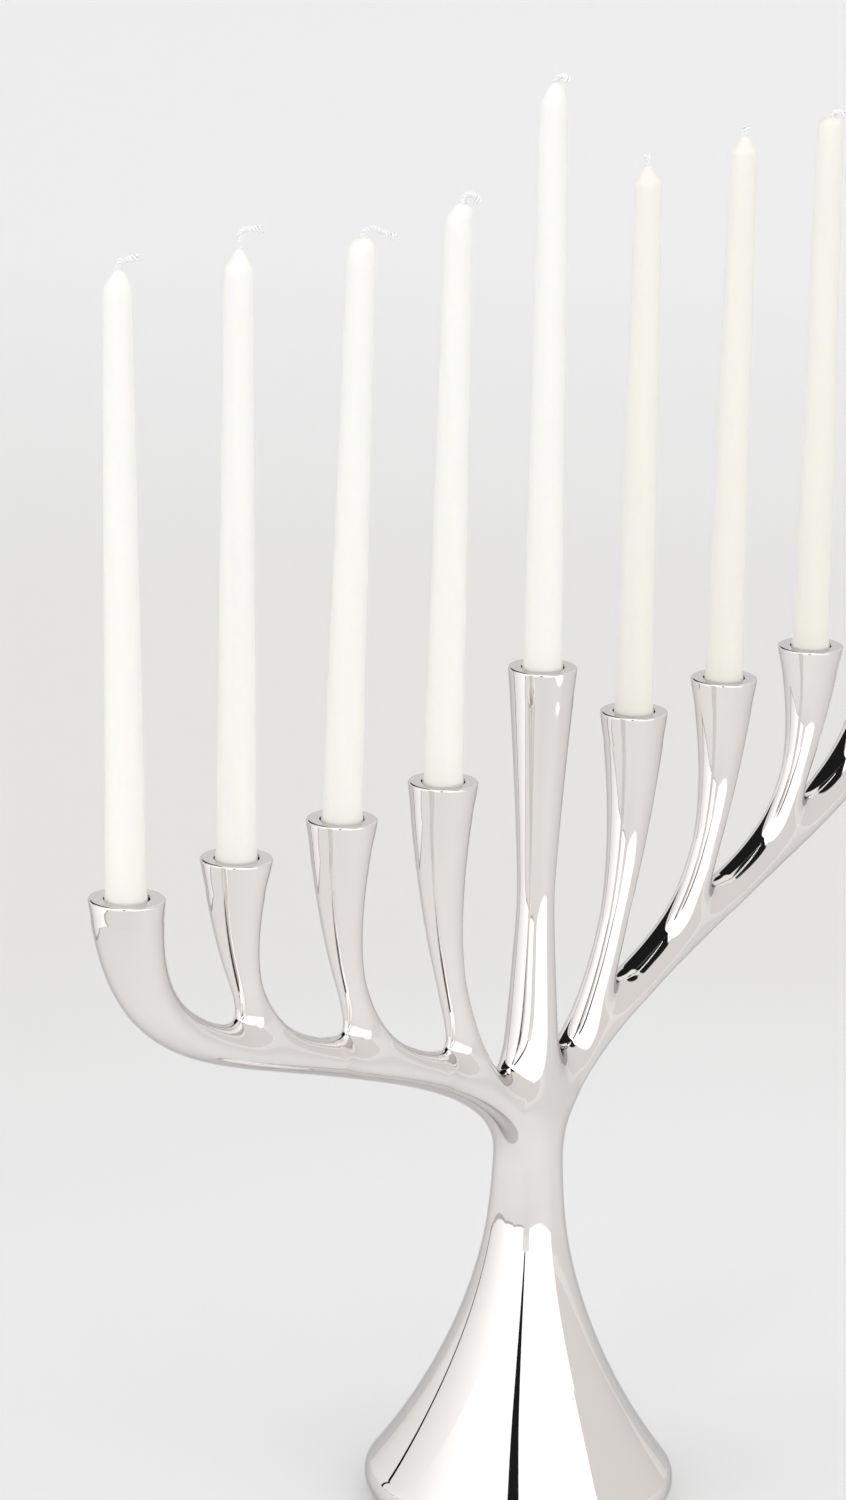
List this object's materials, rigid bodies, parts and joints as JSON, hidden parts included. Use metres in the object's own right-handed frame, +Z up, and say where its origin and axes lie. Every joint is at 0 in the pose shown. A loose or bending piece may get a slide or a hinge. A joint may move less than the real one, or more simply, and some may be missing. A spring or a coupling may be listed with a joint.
{
  "type": "menorah",
  "caption": "Polished cast menorah with tree-like curved arms on a flared round foot, its shamash cup raised in the middle, and tapered candles standing loose in its cups.",
  "frame": {"origin": "on the axis of the stem, at the underside of the felt pad that the foot stands on", "axes": "+X along the row of cups, +Z up along the stem, +Y away from the side that the builder calls the front"},
  "size_m": [0.3482, 0.078, 0.3648],
  "materials": {
    "polished_metal": "polished",
    "wax": "satin",
    "wick_cotton": "matte",
    "felt": "matte"
  },
  "bodies": {
    "menorah": {"candelabrum_casting": "polished_metal", "base_felt_pad": "felt"},
    "candle_1": {"candle_1": "wax", "wick_1": "wick_cotton"},
    "candle_2": {"candle_2": "wax", "wick_2": "wick_cotton"},
    "candle_3": {"candle_3": "wax", "wick_3": "wick_cotton"},
    "candle_4": {"candle_4": "wax", "wick_4": "wick_cotton"},
    "shamash_candle": {"shamash_candle": "wax", "shamash_wick": "wick_cotton"},
    "candle_5": {"candle_5": "wax", "wick_5": "wick_cotton"},
    "candle_6": {"candle_6": "wax", "wick_6": "wick_cotton"},
    "candle_7": {"candle_7": "wax", "wick_7": "wick_cotton"},
    "candle_8": {"candle_8": "wax", "wick_8": "wick_cotton"}
  },
  "joints": [
    {"name": "candle_1_lift", "type": "slide", "parent": "menorah", "child": "candle_1", "axis": [-0.0152, 0.0213, 0.9997], "range_m": [0, 0.03]},
    {"name": "candle_2_lift", "type": "slide", "parent": "menorah", "child": "candle_2", "axis": [-0.0076, 0.0107, 0.9999], "range_m": [0, 0.03]},
    {"name": "candle_3_lift", "type": "slide", "parent": "menorah", "child": "candle_3", "axis": [0.0066, -0.0092, 0.9999], "range_m": [0, 0.03]},
    {"name": "candle_4_lift", "type": "slide", "parent": "menorah", "child": "candle_4", "axis": [0.001, -0.0014, 1], "range_m": [0, 0.03]},
    {"name": "shamash_candle_lift", "type": "slide", "parent": "menorah", "child": "shamash_candle", "axis": [-0.0056, 0.0078, 1], "range_m": [0, 0.03]},
    {"name": "candle_5_lift", "type": "slide", "parent": "menorah", "child": "candle_5", "axis": [-0.0035, 0.005, 1], "range_m": [0, 0.03]},
    {"name": "candle_6_lift", "type": "slide", "parent": "menorah", "child": "candle_6", "axis": [0, 0, 1], "range_m": [0, 0.03]},
    {"name": "candle_7_lift", "type": "slide", "parent": "menorah", "child": "candle_7", "axis": [-0.0015, 0.0021, 1], "range_m": [0, 0.03]},
    {"name": "candle_8_lift", "type": "slide", "parent": "menorah", "child": "candle_8", "axis": [0.0041, -0.0057, 1], "range_m": [0, 0.03]}
  ]
}
